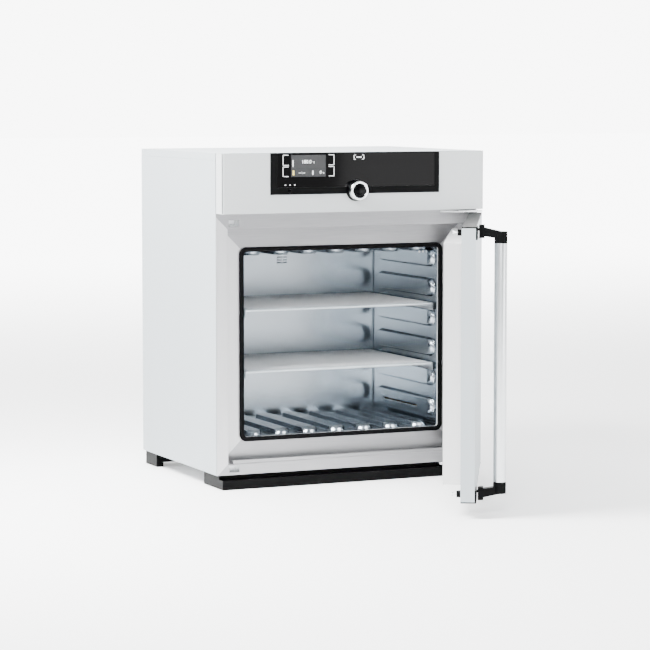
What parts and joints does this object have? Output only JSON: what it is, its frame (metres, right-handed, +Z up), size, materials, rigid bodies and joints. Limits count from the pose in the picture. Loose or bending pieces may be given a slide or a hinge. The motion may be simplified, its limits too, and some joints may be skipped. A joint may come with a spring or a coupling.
{
  "type": "laboratory incubator",
  "caption": "Bench incubator with a ribbed stainless chamber, hinged insulated door with bar handle, perforated shelves and a touch cockpit with a turn knob.",
  "frame": {"origin": "on the bench, on the front plinth's underside, midway across the cabinet in the plane of the front frame", "axes": "+X to the right seen from the front, +Y to the rear, +Z up"},
  "size_m": [0.7505, 1.2503, 0.864],
  "materials": {
    "structured_steel": "fine textured steel, pale grey",
    "galvanised_steel": "zinc plated sheet",
    "zinc_steel": "bright zinc plated steel",
    "frame_steel": "satin stainless steel",
    "chamber_steel": "bright stainless sheet",
    "seal_rubber": "black silicone",
    "heater_mica": "mica heater sheet",
    "mineral_wool": "mineral wool",
    "black_plastic": "matt black moulding",
    "fascia_steel": "satin grey sheet",
    "black_gloss": "glossy black panel",
    "display": "grey display",
    "board_green": "circuit board",
    "bush_plastic": "acetal",
    "satin_aluminium": "satin anodised aluminium",
    "ring_chrome": "satin chrome ring"
  },
  "bodies": {
    "cabinet": {"left_side_panel": "structured_steel", "right_side_panel": "structured_steel", "rear_panel": "galvanised_steel", "top_cover": "structured_steel", "rear_panel_screws": "zinc_steel", "base_plate": "galvanised_steel", "compartment_floor": "galvanised_steel", "front_frame": "frame_steel", "latch_receivers": "zinc_steel", "drip_gutter": "frame_steel", "sill_screws": "zinc_steel", "chamber_left_wall": "chamber_steel", "chamber_right_wall": "chamber_steel", "chamber_floor": "chamber_steel", "chamber_ceiling": "chamber_steel", "chamber_rear_wall": "chamber_steel", "door_seal": "seal_rubber", "side_heaters": "heater_mica", "service_plates": "galvanised_steel", "floor_heater": "heater_mica", "ceiling_heater": "heater_mica", "temperature_probes": "zinc_steel", "insulation": "mineral_wool", "exhaust_tube": "chamber_steel", "mains_inlet": "black_plastic", "network_port": "black_plastic", "front_plinth": "black_plastic", "rear_feet": "black_plastic", "upper_hinge_plate": "zinc_steel", "lower_hinge_plate": "zinc_steel", "hinge_spacer": "zinc_steel", "hinge_pins": "zinc_steel", "control_fascia": "fascia_steel", "cockpit_bezel": "black_plastic", "cockpit_glass": "black_gloss", "display_module": "display", "knob_boss": "black_plastic", "encoder": "black_plastic", "control_board": "board_green", "power_board": "board_green"},
    "door": {"door_outer_skin": "structured_steel", "door_inner_panel": "frame_steel", "door_insulation": "mineral_wool", "door_top_cap": "black_plastic", "door_bottom_cap": "black_plastic", "hinge_bushes": "bush_plastic", "shaft_bearings": "bush_plastic"},
    "handle": {"latch_shaft": "zinc_steel", "handle_grip": "satin_aluminium", "upper_handle_arm": "black_plastic", "lower_handle_arm": "black_plastic", "upper_latch_hook": "zinc_steel", "lower_latch_hook": "zinc_steel", "latch_collars": "black_plastic"},
    "ring": {"turn_ring": "ring_chrome"},
    "confirm": {"confirm_button": "black_gloss"},
    "power": {"power_button": "black_gloss"},
    "flap": {"exhaust_flap": "zinc_steel"},
    "top_shelf": {"upper_shelf": "chamber_steel"},
    "bottom_shelf": {"lower_shelf": "chamber_steel"}
  },
  "joints": [
    {"name": "door_swing", "type": "hinge", "parent": "cabinet", "child": "door", "pos_m": [0.358, -0.024, 0], "axis": [0, 0, 1], "range_deg": [-61.25, 118.75]},
    {"name": "handle_turn", "type": "hinge", "parent": "door", "child": "handle", "pos_m": [0.03198, -0.61619, 0], "axis": [0, 0, 1], "range_deg": [0, 25]},
    {"name": "ring_turn", "type": "hinge", "parent": "cabinet", "child": "ring", "pos_m": [0, -0.06, 0.765], "axis": [0, -1, 0], "continuous": true},
    {"name": "confirm_press", "type": "slide", "parent": "ring", "child": "confirm", "axis": [0, 1, 0], "range_m": [0, 0.0015], "stiffness_N_per_m": 600, "springref_m": -0.0005},
    {"name": "power_press", "type": "slide", "parent": "cabinet", "child": "power", "axis": [0, 1, 0], "range_m": [0, 0.001], "stiffness_N_per_m": 300, "springref_m": -0.0005},
    {"name": "upper_shelf_slide", "type": "slide", "parent": "cabinet", "child": "top_shelf", "axis": [0, -1, 0], "range_m": [0, 0.09]},
    {"name": "lower_shelf_slide", "type": "slide", "parent": "cabinet", "child": "bottom_shelf", "axis": [0, -1, 0], "range_m": [0, 0.09]},
    {"name": "flap_turn", "type": "hinge", "parent": "cabinet", "child": "flap", "pos_m": [0, 0.5, 0.56], "axis": [0, 0, 1], "range_deg": [0, 90]}
  ]
}
